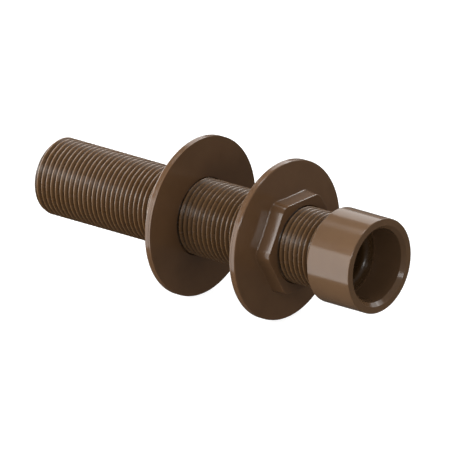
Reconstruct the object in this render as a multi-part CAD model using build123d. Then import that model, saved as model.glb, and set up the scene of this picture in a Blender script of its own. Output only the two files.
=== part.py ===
from build123d import *
import math
import os

# Thru hull fitting, in millimetres. +X runs along the fitting's axis, out of the hull
# towards the pipe socket, and +Z is up. The origin is on the axis, in the plane of the
# hull's outer face, which is the hull side of the sealing gasket.

# Threaded barrel
THREAD_OD = 33.25          # over the crests, the size of a 1 inch parallel pipe thread
THREAD_PITCH = 2.51
THREAD_DEPTH = 1.40
THREAD_FLANK = 27.5        # degrees, from square to the axis
THREAD_CREST_WIDTH = 0.50
THREAD_START_ANGLE = 239.5 # turns the start of the helix about the axis, degrees
BARREL_TAIL_X = -120.1     # free end of the barrel, inside the hull
THREAD_STOP_X = 33.85      # the thread runs up to the socket's back face
BARREL_NOSE_X = 40.50      # the barrel's outer end face, inside the socket
TAIL_CHAMFER = 1.65
SPIGOT_R = 15.85           # plain end that the socket is cemented over
SPIGOT_CHAMFER = 0.70
WATERWAY_R = 10.25
WATERWAY_MOUTH_ROUND = 2.5

# Pipe socket, for a 32 mm solvent pipe
SOCKET_OD = 41.25
SOCKET_BORE_R = 16.10
SOCKET_CEMENT_R = 15.90    # the narrower bore behind it, which takes the spigot
SOCKET_MOUTH_X = 56.55
SOCKET_LEAD_R = 17.62      # the lead-in chamfer's radius at the mouth
SOCKET_LEAD_DEPTH = 1.76
SOCKET_EDGE_ROUND = 0.35

# Flanged nuts, both from one mould
FLANGE_R = 34.60
RIM_HEIGHT = 1.95          # from the nut's back face to the sloping face's outer edge
RIM_ROUND = 0.55
FACE_SLOPE = 8.1           # degrees, the flange gets thicker towards the hex
HEX_HEIGHT = 10.44         # from the nut's back face to the top of the hex
HEX_FLATS = 40.5           # across the flats at the foot of the hex
HEX_DRAFT = 5.0            # degrees, so that the hex leaves its mould
HEX_CORNER_R = 5.6
HEX_FOOT_ROUND = 0.45
HEX_TOP_ROUND = 0.35
HEX_TURN = 30.9            # rest angle from +Y to the middle of a flat, degrees
NUT_CLEARANCE = 0.20       # radial clearance between the nut's thread and the barrel's
NUT_FLANK_GAP = 0.10       # the nut's thread groove is this much wider on each side
NUT_MOUTH_R = 17.10        # countersink at each end of the nut's thread
NUT_MOUTH_DEPTH = 1.50

# Rings under the nuts
RING_BORE_R = 17.00
WASHER_R = 34.60
WASHER_THICKNESS = 0.95
WASHER_GAP = 0.05          # running gap between each nut and its washer
WASHER_EDGE_ROUND = 0.06
GASKET_R = 28.00
GASKET_THICKNESS = 3.00
GASKET_EDGE_ROUND = 0.40

CLAMP_GAP = 43.47          # from washer face to washer face

CREST_R = THREAD_OD / 2
ROOT_R = CREST_R - THREAD_DEPTH
TURN_Z_TO_X = Rot(Y=90)    # stands a shape built along Z along X instead
NUT_SEAT = WASHER_THICKNESS + WASHER_GAP
FRONT_FACE_X = GASKET_THICKNESS
REAR_FACE_X = FRONT_FACE_X - CLAMP_GAP

os.makedirs("parts", exist_ok=True)


def lathe(*points):
    """A solid turned about X from a closed outline of (x, radius) points."""
    outline = make_face(Polyline(*points, close=True))
    return revolve(outline, Axis.X)


def ring(x_low, x_high, bore_r, outer_r):
    return lathe((x_low, bore_r), (x_high, bore_r), (x_high, outer_r), (x_low, outer_r))


def circle_edges(solid, x, radius):
    """The round edges of a turned solid that lie at this x and have this radius."""
    return [
        edge
        for edge in solid.edges().filter_by(GeomType.CIRCLE)
        if abs(edge.radius - radius) < 1e-3 and abs(edge.center().X - x) < 1e-3
    ]


def thread_ridge(x_low, x_high, clearance=0.0, flank_gap=0.0):
    """A helical ridge of the thread's section, from x_low to at least x_high.

    Its phase depends only on x, so every ridge made here is in mesh with every other
    one. It is a skin of ruled strips, a few turns long each.
    """
    sink = 0.3             # the ridge's base lies this far inside the core
    crest_half = THREAD_CREST_WIDTH / 2 + flank_gap
    base_half = crest_half + (THREAD_DEPTH + sink) * math.tan(math.radians(THREAD_FLANK))
    crest_r = CREST_R + clearance
    base_r = ROOT_R + clearance - sink
    section = ((-base_half, base_r), (-crest_half, crest_r), (crest_half, crest_r), (base_half, base_r))

    turns = 2              # in each strip
    strips = math.ceil((x_high - x_low) / (turns * THREAD_PITCH))
    faces = []
    for strip in range(strips):
        place = Pos(0, 0, strip * turns * THREAD_PITCH)
        edges = [place * Pos(0, 0, z) * Helix(THREAD_PITCH, turns * THREAD_PITCH, r) for z, r in section]
        for first, second in zip(edges, edges[1:] + edges[:1]):
            faces.append(Face.make_surface_from_curves(first, second))
        if strip == 0:
            faces.append(Face(Wire(Polyline(*[edge @ 0 for edge in edges], close=True))))
        if strip == strips - 1:
            faces.append(Face(Wire(Polyline(*[edge @ 1 for edge in edges], close=True))))
    turns_before = (x_low - BARREL_TAIL_X) / THREAD_PITCH
    ridge = Rot(Z=THREAD_START_ANGLE + 360 * turns_before) * Solid(Shell(faces))
    return Pos(x_low, 0, 0) * TURN_Z_TO_X * ridge


def make_threaded_barrel():
    over = 4 * THREAD_PITCH
    ridge = thread_ridge(BARREL_TAIL_X - THREAD_PITCH, THREAD_STOP_X + THREAD_PITCH)
    core = ring(BARREL_TAIL_X - over, THREAD_STOP_X + over, 0, ROOT_R)
    tail_r = CREST_R - TAIL_CHAMFER
    envelope = lathe(
        (BARREL_TAIL_X, 0),
        (BARREL_TAIL_X, tail_r),
        (BARREL_TAIL_X + TAIL_CHAMFER, CREST_R),
        (BARREL_TAIL_X + TAIL_CHAMFER, CREST_R + 1),
        (THREAD_STOP_X, CREST_R + 1),
        (THREAD_STOP_X, 0),
    )
    spigot = lathe(
        (THREAD_STOP_X, 0),
        (THREAD_STOP_X, SPIGOT_R),
        (BARREL_NOSE_X - SPIGOT_CHAMFER, SPIGOT_R),
        (BARREL_NOSE_X, SPIGOT_R - SPIGOT_CHAMFER),
        (BARREL_NOSE_X, 0),
    )
    waterway = ring(BARREL_TAIL_X - 1, BARREL_NOSE_X + 1, 0, WATERWAY_R)
    barrel = ((core + ridge) & envelope) + spigot - waterway
    mouths = circle_edges(barrel, BARREL_NOSE_X, WATERWAY_R)
    return fillet(mouths, WATERWAY_MOUTH_ROUND)


def make_pipe_socket():
    outer_r = SOCKET_OD / 2
    socket = lathe(
        (THREAD_STOP_X, SOCKET_CEMENT_R),
        (THREAD_STOP_X, outer_r),
        (SOCKET_MOUTH_X, outer_r),
        (SOCKET_MOUTH_X, SOCKET_LEAD_R),
        (SOCKET_MOUTH_X - SOCKET_LEAD_DEPTH, SOCKET_BORE_R),
        (BARREL_NOSE_X, SOCKET_BORE_R),
        (BARREL_NOSE_X, SOCKET_CEMENT_R),
    )
    rims = circle_edges(socket, SOCKET_MOUTH_X, outer_r)
    rims += circle_edges(socket, THREAD_STOP_X, outer_r)
    return fillet(rims, SOCKET_EDGE_ROUND)


def make_nut_blank():
    """The nut without its thread: back face at x = 0, hex towards +X."""
    cone_top = RIM_HEIGHT + (FLANGE_R - CREST_R) * math.tan(math.radians(FACE_SLOPE))
    flange = lathe(
        (0, 0),
        (0, FLANGE_R),
        (RIM_HEIGHT, FLANGE_R),
        (cone_top, CREST_R),
        (cone_top, 0),
    )
    flange = fillet(circle_edges(flange, RIM_HEIGHT, FLANGE_R), RIM_ROUND)

    # The prism starts inside the flange, and the draft brings it to size at its foot.
    foot_x = RIM_HEIGHT + (FLANGE_R - HEX_FLATS / 2) * math.tan(math.radians(FACE_SLOPE))
    start_r = HEX_FLATS / 2 + (foot_x - RIM_HEIGHT) * math.tan(math.radians(HEX_DRAFT))
    section = RegularPolygon(start_r, 6, major_radius=False)
    section = fillet(section.vertices(), HEX_CORNER_R)
    prism = extrude(section, HEX_HEIGHT - RIM_HEIGHT, taper=HEX_DRAFT)
    hexagon = Pos(RIM_HEIGHT, 0, 0) * TURN_Z_TO_X * prism
    tops = hexagon.faces().sort_by(Axis.X)[-1].edges()
    hexagon = fillet(tops, HEX_TOP_ROUND)

    blank = flange + hexagon
    foot = [
        edge
        for edge in blank.edges()
        if edge.geom_type in (GeomType.HYPERBOLA, GeomType.BSPLINE)
    ]
    return fillet(foot, HEX_FOOT_ROUND)


def make_nut(place):
    """A nut put in place, then tapped in mesh with the barrel."""
    nut = place * Rot(X=HEX_TURN) * make_nut_blank()
    box = nut.bounding_box()
    low, high = box.min.X, box.max.X
    tap = thread_ridge(low - 2 * THREAD_PITCH, high + 2 * THREAD_PITCH, NUT_CLEARANCE, NUT_FLANK_GAP)
    tap_core = ring(low - 1, high + 1, 0, ROOT_R + NUT_CLEARANCE)
    inner_r = NUT_MOUTH_R - NUT_MOUTH_DEPTH
    low_mouth = lathe((low, 0), (low, NUT_MOUTH_R), (low + NUT_MOUTH_DEPTH, inner_r),
                      (low + NUT_MOUTH_DEPTH, 0))
    high_mouth = lathe((high, 0), (high, NUT_MOUTH_R), (high - NUT_MOUTH_DEPTH, inner_r),
                       (high - NUT_MOUTH_DEPTH, 0))
    return nut - tap_core - tap - low_mouth - high_mouth


def make_slip_washer(x_low):
    x_high = x_low + WASHER_THICKNESS
    washer = ring(x_low, x_high, RING_BORE_R, WASHER_R)
    rims = circle_edges(washer, x_low, WASHER_R) + circle_edges(washer, x_high, WASHER_R)
    return fillet(rims, WASHER_EDGE_ROUND)


def make_gasket():
    gasket = ring(0, GASKET_THICKNESS, RING_BORE_R, GASKET_R)
    rims = circle_edges(gasket, 0, GASKET_R) + circle_edges(gasket, GASKET_THICKNESS, GASKET_R)
    return fillet(rims, GASKET_EDGE_ROUND)


front_place = Pos(FRONT_FACE_X + NUT_SEAT, 0, 0)
rear_place = Pos(REAR_FACE_X - NUT_SEAT, 0, 0) * Rot(Z=180)

parts = {
    "threaded_barrel": make_threaded_barrel(),
    "pipe_socket": make_pipe_socket(),
    "sealing_gasket": make_gasket(),
    "front_slip_washer": make_slip_washer(FRONT_FACE_X),
    "front_nut": make_nut(front_place),
    "rear_slip_washer": make_slip_washer(REAR_FACE_X - WASHER_THICKNESS),
    "rear_nut": make_nut(rear_place),
}

for name, solid in parts.items():
    solid.label = name
    export_step(solid, f"parts/{name}.step")
    print(f"{name}: {solid.volume:.0f} mm3")
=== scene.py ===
import math

import bmesh
import bpy
from mathutils import Matrix, Vector


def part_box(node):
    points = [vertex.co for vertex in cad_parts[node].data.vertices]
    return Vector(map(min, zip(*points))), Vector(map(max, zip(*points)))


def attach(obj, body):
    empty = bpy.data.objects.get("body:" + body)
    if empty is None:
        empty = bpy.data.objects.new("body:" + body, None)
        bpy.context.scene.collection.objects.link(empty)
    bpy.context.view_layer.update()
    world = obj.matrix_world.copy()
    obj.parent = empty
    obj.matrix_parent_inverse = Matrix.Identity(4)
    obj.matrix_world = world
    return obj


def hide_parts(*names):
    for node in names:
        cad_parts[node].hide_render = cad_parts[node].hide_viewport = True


# A thru hull fitting: a threaded barrel with a pipe socket on its end, and two flanged
# nuts on it. Every visible piece is a fine mesh that stands for the CAD node of its name.
# +X runs along the fitting's axis towards the socket, and angles round the axis go
# from +Y towards +Z.

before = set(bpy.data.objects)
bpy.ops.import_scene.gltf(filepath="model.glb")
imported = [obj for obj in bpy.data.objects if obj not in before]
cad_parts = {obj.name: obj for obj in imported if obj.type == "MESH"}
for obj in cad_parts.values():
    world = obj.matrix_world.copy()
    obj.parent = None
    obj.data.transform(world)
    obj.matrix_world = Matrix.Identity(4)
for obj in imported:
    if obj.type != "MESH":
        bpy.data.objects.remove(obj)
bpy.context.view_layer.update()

MM = 0.001
FULL_TURN = 2 * math.pi


def nose_and_tail(node):
    """The lowest and highest x of a CAD node."""
    low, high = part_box(node)
    return low.x, high.x


# Thread, and the barrel that carries it
CREST_R = 16.625 * MM
ROOT_R = 15.225 * MM
PITCH = 2.51 * MM
THREAD_FLANK = math.radians(28.0)    # from square to the axis
THREAD_CREST_WIDTH = 0.50 * MM
THREAD_CREST_ROUND = 0.40 * MM
THREAD_ROOT_ROUND = 0.15 * MM
THREAD_START = math.radians(149.5)   # a crest crosses the barrel's tail at this angle
TAIL_X, NOSE_X = nose_and_tail("threaded_barrel")
TAIL_CHAMFER = 1.65 * MM
SPIGOT_R = 15.85 * MM
SPIGOT_CHAMFER = 0.70 * MM
WATERWAY_R = 10.25 * MM
WATERWAY_MOUTH_ROUND = 2.5 * MM

# Pipe socket
SOCKET_BACK_X, MOUTH_X = nose_and_tail("pipe_socket")
SOCKET_R = 20.625 * MM
SOCKET_BORE_R = 16.10 * MM
SOCKET_CEMENT_R = 15.90 * MM
SOCKET_LEAD_R = 17.62 * MM
SOCKET_LEAD_DEPTH = 1.76 * MM
SOCKET_EDGE_ROUND = 0.35 * MM

# Flanged nuts. Heights are measured from the nut's back face, which looks at the hull.
FLANGE_R = 34.60 * MM
RIM_HEIGHT = 1.95 * MM
RIM_ROUND = 0.55 * MM
FACE_SLOPE = math.radians(8.1)
HEX_HEIGHT = 10.44 * MM
HEX_FLATS = 40.5 * MM
HEX_DRAFT = math.radians(5.0)
HEX_CORNER_R = 5.6 * MM
HEX_FOOT_ROUND = 0.45 * MM
HEX_TOP_ROUND = 0.35 * MM
HEX_TURN = math.radians(30.9)        # from +Y to the middle of the front nut's first flat
NUT_CLEARANCE = 0.20 * MM
NUT_FLANK_GAP = 0.10 * MM
NUT_MOUTH_R = 17.10 * MM             # countersink at each end of the thread

# Washers and gasket
RING_BORE_R = 17.00 * MM
WASHER_R = 34.60 * MM
WASHER_EDGE_ROUND = 0.06 * MM
GASKET_R = 28.00 * MM
GASKET_EDGE_ROUND = 0.40 * MM

EDGE_BREAK = 0.12 * MM               # how far a moulded corner is off sharp

# Fineness of the meshes
TURNED_STEPS = 192                   # points round a turned piece
BARREL_STEPS = 96                    # points round the barrel, which has many more rows
FLAT_STEPS = 24                      # points along each flat of a hex
CORNER_STEPS = 8                     # points round each corner of a hex
ARC_STEPS = 6                        # faces round a fillet
CREST_STEPS = 3
ROOT_STEPS = 1
FLANGE_STEPS = 8                     # faces up a nut's sloping face, inside its outer zone
OUTER_ZONE_R = 0.9 * FLANGE_R        # the zone's inner edge; the rim's own rows end there
FILLET_PASSES = 4                    # refinements of a foot fillet's height
SIDE_SHARES = (0.04, 0.35, 0.65, 0.96)   # rows up a side of a hex, as shares of its height
TOP_SHARES = (0.05, 0.35, 0.7, 1.0)      # rows across the top of a hex, from its edge
SUPPORT = 0.12 * MM                  # how close a row stands to the end of a straight
WELD = 0.0005 * MM                   # points closer than this become one


# ---------------------------------------------------------------- outlines

def even_angles(count):
    return [FULL_TURN * i / count for i in range(count)]


def straight(start, end, pieces=3):
    """Points from start to end, with one close to each end so that shading stays flat."""
    length = math.dist(start, end)
    near = min(SUPPORT / length, 0.25) if length else 0.25
    shares = [0, near] + [i / pieces for i in range(1, pieces)] + [1 - near, 1]
    return [tuple(a + (b - a) * s for a, b in zip(start, end)) for s in shares]


def corner_arc(before, corner, after, radius, steps=ARC_STEPS):
    """The points of a fillet between two straights that meet at corner."""
    to_before = Vector(before) - Vector(corner)
    to_after = Vector(after) - Vector(corner)
    half = to_before.angle(to_after) / 2
    middle = (to_before.normalized() + to_after.normalized()).normalized()
    centre = Vector(corner) + middle * (radius / math.sin(half))
    tangent = radius / math.tan(half)
    first = Vector(corner) + to_before.normalized() * tangent - centre
    sweep = first.angle_signed(Vector(corner) + to_after.normalized() * tangent - centre)
    points = []
    for i in range(steps + 1):
        turned = Matrix.Rotation(-sweep * i / steps, 2) @ first
        points.append(tuple(centre + turned))
    return points


def smooth_runs(corners, closed=True):
    """Splits an outline of (x, radius, round) corners into runs without a sharp corner."""
    count = len(corners)
    arcs = []
    for i, (x, r, rounding) in enumerate(corners):
        inner = closed or 0 < i < count - 1
        if rounding and inner:
            before, after = corners[i - 1][:2], corners[(i + 1) % count][:2]
            arcs.append(corner_arc(before, (x, r), after, rounding))
        else:
            arcs.append([(x, r)])
    sharp = [i for i, arc in enumerate(arcs) if len(arc) == 1]
    start = sharp[0] if closed else 0
    order = [(start + i) % count for i in range(count)] + ([start] if closed else [])
    runs = [[arcs[start][-1]]]
    for i, j in zip(order, order[1:]):
        runs[-1] += straight(arcs[i][-1], arcs[j][0])[1:] + arcs[j][1:]
        if len(arcs[j]) == 1:
            runs.append([arcs[j][0]])
    return [run for run in runs if len(run) > 1]


# ------------------------------------------------------------------ meshes

def round_axis(x, radius, angle):
    return Vector((x, radius * math.cos(angle), radius * math.sin(angle)))


def add_rows(bm, rows, patch, row_shift=0):
    """Quads between rows of points round the axis.

    A helical row ends where the row row_shift further on starts.
    """
    layer = bm.faces.layers.int["patch"]
    verts = [[bm.verts.new(point) for point in row] for row in rows]
    for k in range(len(rows) - 1 - row_shift):
        low = verts[k] + verts[k + row_shift][:1]
        high = verts[k + 1] + verts[k + 1 + row_shift][:1]
        for j in range(len(rows[0])):
            face = bm.faces.new((low[j], low[j + 1], high[j + 1], high[j]))
            face[layer] = patch
            face.smooth = True


def add_turned(bm, run, angles, patch):
    add_rows(bm, [[round_axis(x, r, a) for a in angles] for x, r in run], patch)


def thread_section(clearance=0.0, flank_gap=0.0):
    """One pitch of the thread's outline about a crest, as (distance along x, radius)."""
    crest_r, root_r = CREST_R + clearance, ROOT_R + clearance
    crest_half = THREAD_CREST_WIDTH / 2 + flank_gap
    base_half = crest_half + (crest_r - root_r) * math.tan(THREAD_FLANK)
    corners = [(-PITCH / 2, root_r), (-base_half, root_r), (-crest_half, crest_r),
               (crest_half, crest_r), (base_half, root_r), (PITCH / 2, root_r)]
    root, crest = (THREAD_ROOT_ROUND, ROOT_STEPS), (THREAD_CREST_ROUND, CREST_STEPS)
    section = [corners[0]]
    for i, arc in enumerate((root, crest, crest, root)):
        section += corner_arc(*corners[i:i + 3], *arc)
    return section


def crest_x(angle):
    """Where the first crest stands at an angle round the axis."""
    return TAIL_X + PITCH * (angle - THREAD_START) / FULL_TURN


def section_radius(section, along):
    """The outline's radius at a distance along x from a crest."""
    along = (along + PITCH / 2) % PITCH - PITCH / 2
    for (x0, r0), (x1, r1) in zip(section, section[1:] + [(PITCH / 2, section[0][1])]):
        if x0 <= along <= x1:
            return r0 + (r1 - r0) * (along - x0) / max(x1 - x0, 1e-12)
    return section[0][1]


def end_radii(section, x, angles):
    """The radii that a square cut through the thread at x shows."""
    return [section_radius(section, x - crest_x(a)) for a in angles]


def add_thread(bm, x_low, x_high, angles, section, limit, patch):
    """A threaded wall whose rows follow the helix, cut square at both ends.

    limit(x, radius) is the radius that a chamfer or countersink leaves at x.
    """
    first = math.floor((x_low - crest_x(angles[-1])) / PITCH) - 1
    last = math.ceil((x_high - crest_x(angles[0])) / PITCH) + 1
    end_rows = {end: end_radii(section, end, angles) for end in (x_low, x_high)}
    rows = []
    for turn in range(first, last + 2):
        for along, radius in section:
            row = []
            for j, angle in enumerate(angles):
                x, r = crest_x(angle) + turn * PITCH + along, radius
                if not x_low <= x <= x_high:
                    x = x_low if x < x_low else x_high
                    r = end_rows[x][j]
                row.append(round_axis(x, limit(x, r), angle))
            rows.append(row)
    add_rows(bm, rows, patch, row_shift=len(section))


def start_mesh():
    bm = bmesh.new()
    bm.faces.layers.int.new("patch")
    return bm


def make_piece(bm, name, node, body, material):
    """Closes the patches into one skin, and puts it in the CAD node's place."""
    bmesh.ops.remove_doubles(bm, verts=bm.verts, dist=WELD)
    bmesh.ops.recalc_face_normals(bm, faces=bm.faces)
    layer = bm.faces.layers.int["patch"]
    for edge in bm.edges:
        edge.smooth = len(edge.link_faces) == 2 and (
            edge.link_faces[0][layer] == edge.link_faces[1][layer]
        )
    mesh = bpy.data.meshes.new(name)
    bm.to_mesh(mesh)
    bm.free()
    piece = bpy.data.objects.new(name, mesh)
    bpy.context.scene.collection.objects.link(piece)
    mesh.materials.append(material)
    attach(piece, body)
    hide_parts(node)
    return piece


def turned_mesh(corners):
    bm = start_mesh()
    for patch, run in enumerate(smooth_runs(corners)):
        add_turned(bm, run, even_angles(TURNED_STEPS), patch)
    return bm


def barrel_mesh():
    bm = start_mesh()
    angles = even_angles(BARREL_STEPS)
    tail_r = CREST_R - TAIL_CHAMFER

    def limit(x, radius):
        return min(radius, tail_r + x - TAIL_X)

    section = thread_section()
    add_thread(bm, TAIL_X, SOCKET_BACK_X, angles, section, limit, 0)
    radii = end_radii(section, SOCKET_BACK_X, angles)
    thread_end = [round_axis(SOCKET_BACK_X, r, a) for r, a in zip(radii, angles)]
    spigot_start = [round_axis(SOCKET_BACK_X, SPIGOT_R, a) for a in angles]
    add_rows(bm, [thread_end, spigot_start], 1)
    inside = [
        (SOCKET_BACK_X, SPIGOT_R, 0),
        (NOSE_X - SPIGOT_CHAMFER, SPIGOT_R, 0),
        (NOSE_X, SPIGOT_R - SPIGOT_CHAMFER, 2 * EDGE_BREAK),
        (NOSE_X, WATERWAY_R, WATERWAY_MOUTH_ROUND),
        (TAIL_X, WATERWAY_R, 2 * EDGE_BREAK),
        (TAIL_X, tail_r, 0),
    ]
    for patch, run in enumerate(smooth_runs(inside, closed=False), start=2):
        add_turned(bm, run, angles, patch)
    return bm


def socket_corners():
    return [
        (SOCKET_BACK_X, SOCKET_CEMENT_R, 0),
        (SOCKET_BACK_X, SOCKET_R, SOCKET_EDGE_ROUND),
        (MOUTH_X, SOCKET_R, SOCKET_EDGE_ROUND),
        (MOUTH_X, SOCKET_LEAD_R, EDGE_BREAK),
        (MOUTH_X - SOCKET_LEAD_DEPTH, SOCKET_BORE_R, EDGE_BREAK),
        (NOSE_X, SOCKET_BORE_R, 0),
        (NOSE_X, SOCKET_CEMENT_R, 0),
    ]


def ring_corners(node, outer_r, rounding):
    low, high = nose_and_tail(node)
    return [
        (low, RING_BORE_R, 0),
        (low, outer_r, rounding),
        (high, outer_r, rounding),
        (high, RING_BORE_R, 0),
    ]


def cone_height(radius):
    """The height of the flange's sloping face."""
    return RIM_HEIGHT + (FLANGE_R - radius) * math.tan(FACE_SLOPE)


def hex_samples(turn):
    """Points round a hexagon with rounded corners, as (corner centre, outward normal)."""
    foot_r = HEX_FLATS / 2
    start_r = foot_r + (cone_height(foot_r) - RIM_HEIGHT) * math.tan(HEX_DRAFT)
    centre_r = (start_r - HEX_CORNER_R) / math.cos(math.pi / 6)

    def heading(angle):
        return Vector((math.cos(angle), math.sin(angle)))

    samples = []
    for side in range(6):
        normal = turn + side * math.pi / 3
        first = heading(normal - math.pi / 6) * centre_r
        second = heading(normal + math.pi / 6) * centre_r
        for i in range(FLAT_STEPS):
            samples.append((first.lerp(second, i / FLAT_STEPS), heading(normal)))
        for i in range(CORNER_STEPS):
            samples.append((second, heading(normal + i / CORNER_STEPS * math.pi / 3)))
    return samples


def foot_fillet(centre, normal):
    """The fillet where a side of the hex meets the sloping face, as (reach, height).

    Reach is measured from the corner centre along the side's outward normal.
    """
    round_r = HEX_FOOT_ROUND
    out, up = math.cos(HEX_DRAFT), math.sin(HEX_DRAFT)
    height = RIM_HEIGHT
    for _ in range(FILLET_PASSES):
        reach = side_reach(height)
        point = centre + normal * (reach + round_r * out)
        slope = math.atan(math.tan(FACE_SLOPE) * point.normalized().dot(normal))
        height = cone_height(point.length) + round_r / math.cos(slope) - round_r * up
    mid = (reach + round_r * out, height + round_r * up)
    first, last = math.pi + HEX_DRAFT, 1.5 * math.pi - slope
    turns = [last + (first - last) * i / ARC_STEPS for i in range(ARC_STEPS + 1)]
    return [(mid[0] + round_r * math.cos(a), mid[1] + round_r * math.sin(a)) for a in turns]


def side_reach(height):
    return HEX_CORNER_R - (height - RIM_HEIGHT) * math.tan(HEX_DRAFT)


def nut_mesh(seat_x, facing, turn):
    """A flanged nut. Its hex stands off the back face in the direction facing, +1 or -1."""
    samples = hex_samples(turn)

    def place(height, point):
        return Vector((seat_x + facing * height, point.x, point.y))

    fillets = [foot_fillet(centre, normal) for centre, normal in samples]
    feet = [c + n * fillet[0][0] for (c, n), fillet in zip(samples, fillets)]
    angles = [math.atan2(p.y, p.x) for p in feet]
    angles = [a + FULL_TURN if a < angles[0] else a for a in angles]

    def circle(height, radius):
        return [place(height, Vector((math.cos(a), math.sin(a))) * radius) for a in angles]

    bm = start_mesh()
    rim = smooth_runs(
        [
            (0, NUT_MOUTH_R, 0),
            (0, FLANGE_R, WASHER_EDGE_ROUND),
            (RIM_HEIGHT, FLANGE_R, RIM_ROUND),
            (cone_height(OUTER_ZONE_R), OUTER_ZONE_R, 0),
        ],
        closed=False,
    )[0]
    rows = [circle(h, r) for h, r in rim]

    cone_r = rim[-1][1]
    for i in range(1, FLANGE_STEPS):
        row = []
        for foot, angle in zip(feet, angles):
            start = Vector((math.cos(angle), math.sin(angle))) * cone_r
            point = start.lerp(foot, i / FLANGE_STEPS)
            row.append(place(cone_height(point.length), point))
        rows.append(row)

    for i in range(ARC_STEPS + 1):
        rows.append([place(f[i][1], c + n * f[i][0]) for (c, n), f in zip(samples, fillets)])

    tangent_height = HEX_HEIGHT - HEX_TOP_ROUND * (1 - math.sin(HEX_DRAFT))
    for share in SIDE_SHARES:
        row = []
        for (centre, normal), fillet in zip(samples, fillets):
            start = fillet[-1][1]
            height = start + (tangent_height - start) * share
            row.append(place(height, centre + normal * side_reach(height)))
        rows.append(row)

    round_reach = side_reach(tangent_height) - HEX_TOP_ROUND * math.cos(HEX_DRAFT)
    for i in range(ARC_STEPS + 1):
        a = HEX_DRAFT + (math.pi / 2 - HEX_DRAFT) * i / ARC_STEPS
        reach = round_reach + HEX_TOP_ROUND * math.cos(a)
        height = HEX_HEIGHT - HEX_TOP_ROUND * (1 - math.sin(a))
        rows.append([place(height, c + n * reach) for c, n in samples])

    top_edge = rows[-1]
    mouth = circle(HEX_HEIGHT, NUT_MOUTH_R)
    for share in TOP_SHARES:
        rows.append([a.lerp(b, share) for a, b in zip(top_edge, mouth)])
    add_rows(bm, rows, 0)

    x_low, x_high = sorted((seat_x, seat_x + facing * HEX_HEIGHT))

    def limit(x, radius):
        return max(radius, NUT_MOUTH_R - min(x - x_low, x_high - x))

    add_thread(bm, x_low, x_high, angles, thread_section(NUT_CLEARANCE, NUT_FLANK_GAP), limit, 1)
    return bm


# --------------------------------------------------------------- materials

PLASTIC_IOR = 1.50
MOTTLE = 0.06                        # how far the colour strays, as a share
SMEAR = 0.04                         # how far the roughness strays
ROOT_PAINTED_SHADE = 0.45                     # painted shade in the thread's roots and painted highlight on its crests, as brightness gains
CREST_PAINTED_HIGHLIGHT = 1.25


def add_node(tree, kind, **values):
    node = tree.nodes.new(kind)
    for name, value in values.items():
        setattr(node, name, value)
    return node


def map_range(tree, value, to_min, to_max, from_min=0.0, from_max=1.0):
    """Rescales a node's value from one range to another."""
    node = add_node(tree, "ShaderNodeMapRange")
    node.inputs["From Min"].default_value = from_min
    node.inputs["From Max"].default_value = from_max
    node.inputs["To Min"].default_value = to_min
    node.inputs["To Max"].default_value = to_max
    tree.links.new(value, node.inputs["Value"])
    return node.outputs["Result"]


def noise(tree, place, scale, detail):
    node = add_node(tree, "ShaderNodeTexNoise")
    node.inputs["Scale"].default_value = scale
    node.inputs["Detail"].default_value = detail
    tree.links.new(place, node.inputs["Vector"])
    return node.outputs["Fac"]


def paint_shade_by_radius(tree, place, tint):
    """Paints shade into a colour towards the thread's roots and a highlight towards its crests.
    """
    across = add_node(tree, "ShaderNodeVectorMath", operation="MULTIPLY")
    across.inputs[1].default_value = (0, 1, 1)
    tree.links.new(place, across.inputs[0])
    radius = add_node(tree, "ShaderNodeVectorMath", operation="LENGTH")
    tree.links.new(across.outputs["Vector"], radius.inputs[0])
    gain = map_range(tree, radius.outputs["Value"], ROOT_PAINTED_SHADE, CREST_PAINTED_HIGHLIGHT, ROOT_R, CREST_R)
    shade = add_node(tree, "ShaderNodeHueSaturation")
    tree.links.new(tint, shade.inputs["Color"])
    tree.links.new(gain, shade.inputs["Value"])
    return shade.outputs["Color"]


def moulded_plastic(name, colour, roughness, grain_height=0.0015 * MM, painted_groove_shade=False):
    """Opaque moulded plastic: a little uneven in colour and gloss, with a fine grain.

    When the thread flag is set, shade is painted into the thread's roots and a highlight onto
    its crests, by radius from the axis.
    """
    material = bpy.data.materials.new(name)
    material.use_nodes = True
    tree = material.node_tree
    shader = tree.nodes["Principled BSDF"]
    shader.inputs["IOR"].default_value = PLASTIC_IOR
    place = add_node(tree, "ShaderNodeTexCoord").outputs["Object"]

    tones = add_node(tree, "ShaderNodeValToRGB")
    tones.color_ramp.elements[0].position = 0.3
    tones.color_ramp.elements[1].position = 0.7
    for element, gain in zip(tones.color_ramp.elements, (1 - MOTTLE, 1 + MOTTLE)):
        element.color = (*[c * gain for c in colour], 1)
    tree.links.new(noise(tree, place, scale=90, detail=4), tones.inputs["Fac"])
    tint = tones.outputs["Color"]
    # painted shade in the thread's roots and painted highlight on its crests, by radius from the
    # axis
    if painted_groove_shade:
        tint = paint_shade_by_radius(tree, place, tint)
    tree.links.new(tint, shader.inputs["Base Color"])

    smears = noise(tree, place, scale=260, detail=5)
    gloss = map_range(tree, smears, roughness - SMEAR, roughness + SMEAR)
    tree.links.new(gloss, shader.inputs["Roughness"])

    bump = add_node(tree, "ShaderNodeBump")
    bump.inputs["Strength"].default_value = 0.5
    bump.inputs["Distance"].default_value = grain_height
    tree.links.new(noise(tree, place, scale=2500, detail=2), bump.inputs["Height"])
    tree.links.new(bump.outputs["Normal"], shader.inputs["Normal"])
    return material


# the barrel's colour carries painted shade in its thread's roots and a painted highlight on its
# crests
barrel_plastic = moulded_plastic("barrel_plastic", (0.120, 0.062, 0.024), 0.27, painted_groove_shade=True)
socket_plastic = moulded_plastic("socket_plastic", (0.132, 0.074, 0.038), 0.15)
nut_plastic = moulded_plastic("nut_plastic", (0.118, 0.062, 0.030), 0.15)
washer_plastic = moulded_plastic("washer_plastic", (0.120, 0.063, 0.030), 0.20)
gasket_rubber = moulded_plastic("gasket_rubber", (0.02, 0.017, 0.015), 0.62, 0.01 * MM)


# ------------------------------------------------------------------ pieces

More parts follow.
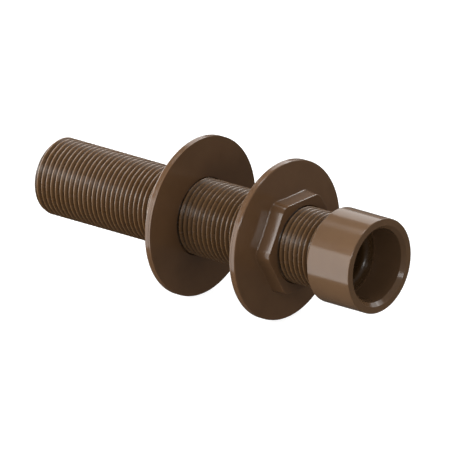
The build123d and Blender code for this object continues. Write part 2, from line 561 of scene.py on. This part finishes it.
make_piece(barrel_mesh(),
           "barrel", "threaded_barrel", "fitting", barrel_plastic)
make_piece(turned_mesh(socket_corners()),
           "socket", "pipe_socket", "fitting", socket_plastic)
make_piece(turned_mesh(ring_corners("sealing_gasket", GASKET_R, GASKET_EDGE_ROUND)),
           "gasket", "sealing_gasket", "front_ring", gasket_rubber)
make_piece(turned_mesh(ring_corners("front_slip_washer", WASHER_R, WASHER_EDGE_ROUND)),
           "washer_front", "front_slip_washer", "front_ring", washer_plastic)
make_piece(turned_mesh(ring_corners("rear_slip_washer", WASHER_R, WASHER_EDGE_ROUND)),
           "washer_rear", "rear_slip_washer", "rear_ring", washer_plastic)
front_seat = nose_and_tail("front_nut")[0]
make_piece(nut_mesh(front_seat, 1, HEX_TURN),
           "nut_front", "front_nut", "front_nut", nut_plastic)
rear_seat = nose_and_tail("rear_nut")[1]
make_piece(nut_mesh(rear_seat, -1, math.pi - HEX_TURN),
           "nut_rear", "rear_nut", "rear_nut", nut_plastic)


# ------------------------------------------------------------------- stage

scene = bpy.context.scene
scene.view_settings.view_transform = "Standard"

FLOOR_Z = -FLANGE_R
FLOOR_HALF = 3.0
FLOOR_GREY = 0.35
FLOOR_GLOW = 0.88
WHITE = (1, 1, 1, 1)
WORLD_FILL = 0.42                    # the world's strength, as matt surfaces see it
MIRRORED_LOW = 0.05                  # and as reflections see it, low down and high up
MIRRORED_HIGH = 0.20
FADE_LOW = -0.35                     # the slope, up or down, where that change is complete
FADE_HIGH = 0.10


def pale_floor():
    """A pale floor that only the camera sees: no shadow, bounce or reflection."""
    low, high = -FLOOR_HALF, FLOOR_HALF
    square = ((low, low), (high, low), (high, high), (low, high))
    mesh = bpy.data.meshes.new("floor")
    mesh.from_pydata([(x, y, FLOOR_Z) for x, y in square], [], [(0, 1, 2, 3)])
    floor = bpy.data.objects.new("floor", mesh)
    scene.collection.objects.link(floor)
    material = bpy.data.materials.new("pale_floor")
    material.use_nodes = True
    shader = material.node_tree.nodes["Principled BSDF"]
    shader.inputs["Base Color"].default_value = (FLOOR_GREY, FLOOR_GREY, FLOOR_GREY, 1)
    shader.inputs["Roughness"].default_value = 0.9
    shader.inputs["Specular IOR Level"].default_value = 0.0
    shader.inputs["Emission Color"].default_value = WHITE
    shader.inputs["Emission Strength"].default_value = FLOOR_GLOW
    mesh.materials.append(material)
    floor.visible_shadow = False
    floor.visible_glossy = False
    floor.visible_diffuse = False
    return floor


def soft_light(name, direction, distance, width, height, radiance, along=(1, 0, 0)):
    """A rectangular soft box that looks at the fitting, of the given surface radiance.

    Its width runs in the direction along.
    """
    data = bpy.data.lights.new(name, "AREA")
    data.shape = "RECTANGLE"
    data.size = width
    data.size_y = height
    data.energy = radiance * math.pi * width * height
    lamp = bpy.data.objects.new(name, data)
    scene.collection.objects.link(lamp)
    heading = Vector(direction).normalized()
    up = heading.cross(Vector(along)).normalized()
    lamp.location = heading * distance
    lamp.rotation_euler = Matrix((up.cross(heading), up, heading)).transposed().to_euler()


def studio_world():
    """White behind the object, and dim in its reflections, darker below the horizon."""
    world = bpy.data.worlds.new("studio")
    world.use_nodes = True
    tree = world.node_tree
    pale = tree.nodes["Background"]
    pale.inputs["Color"].default_value = WHITE
    dim = add_node(tree, "ShaderNodeBackground")
    dim.inputs["Color"].default_value = WHITE
    heading = add_node(tree, "ShaderNodeTexCoord").outputs["Generated"]
    split = add_node(tree, "ShaderNodeSeparateXYZ")
    tree.links.new(heading, split.inputs["Vector"])
    slope = split.outputs["Z"]
    mirrored = map_range(tree, slope, MIRRORED_LOW, MIRRORED_HIGH, FADE_LOW, FADE_HIGH)
    rays = add_node(tree, "ShaderNodeLightPath")
    strength = map_range(tree, rays.outputs["Is Glossy Ray"], WORLD_FILL, MIRRORED_HIGH)
    tree.links.new(mirrored, strength.node.inputs["To Max"])
    tree.links.new(strength, dim.inputs["Strength"])
    choice = add_node(tree, "ShaderNodeMixShader")
    tree.links.new(rays.outputs["Is Camera Ray"], choice.inputs["Fac"])
    tree.links.new(dim.outputs["Background"], choice.inputs[1])
    tree.links.new(pale.outputs["Background"], choice.inputs[2])
    tree.links.new(choice.outputs["Shader"], tree.nodes["World Output"].inputs["Surface"])
    return world


floor = pale_floor()
soft_light("backdrop_box", (-0.15, 0.80, 0.62), 1.3, 2.0, 0.80, 1.6)
soft_light("side_box", (-0.604, -0.795, -0.07), 1.3, 0.9, 1.34, 2.5, along=(0.795, -0.604, 0))
soft_light("left_box", (-1.0, -0.08, 0.22), 1.3, 1.8, 1.2, 5.0, along=(0, 1, 0))
soft_light("front_strip", (-0.20, -0.85, 0.48), 1.3, 0.70, 0.32, 8.0)
soft_light("right_strip", (0.85, -0.43, 0.30), 1.3, 0.55, 0.18, 9.0, along=(0.21, 0.31, -0.17))
soft_light("back_strip", (-0.12, 0.745, 0.665), 1.25, 0.65, 0.18, 9.0)
soft_light("top_strip", (-0.15, 0.03, 0.98), 1.3, 1.20, 0.30, 4.5)
soft_light("mouth_box", (0.22, 0.73, 0.65), 1.25, 0.20, 0.20, 2.6)
scene.world = studio_world()

# ------------------------------------------------------------------ camera

AZIMUTH = math.radians(39.93)
ELEVATION = math.radians(19.84)
VIEW_WIDTH = 189.13 * MM
AIM = Vector((-28.24 * MM, 0, -1.175 * MM))
CAMERA_DISTANCE = 0.6

camera_data = bpy.data.cameras.new("camera")
camera_data.type = "ORTHO"
camera_data.ortho_scale = VIEW_WIDTH
camera_data.clip_start = 0.01
camera_data.clip_end = 10
camera = bpy.data.objects.new("camera", camera_data)
scene.collection.objects.link(camera)
towards = Vector((
    math.sin(AZIMUTH) * math.cos(ELEVATION),
    -math.cos(AZIMUTH) * math.cos(ELEVATION),
    math.sin(ELEVATION),
))
camera.location = AIM + towards * CAMERA_DISTANCE
camera.rotation_euler = (-towards).to_track_quat("-Z", "Y").to_euler()
scene.camera = camera
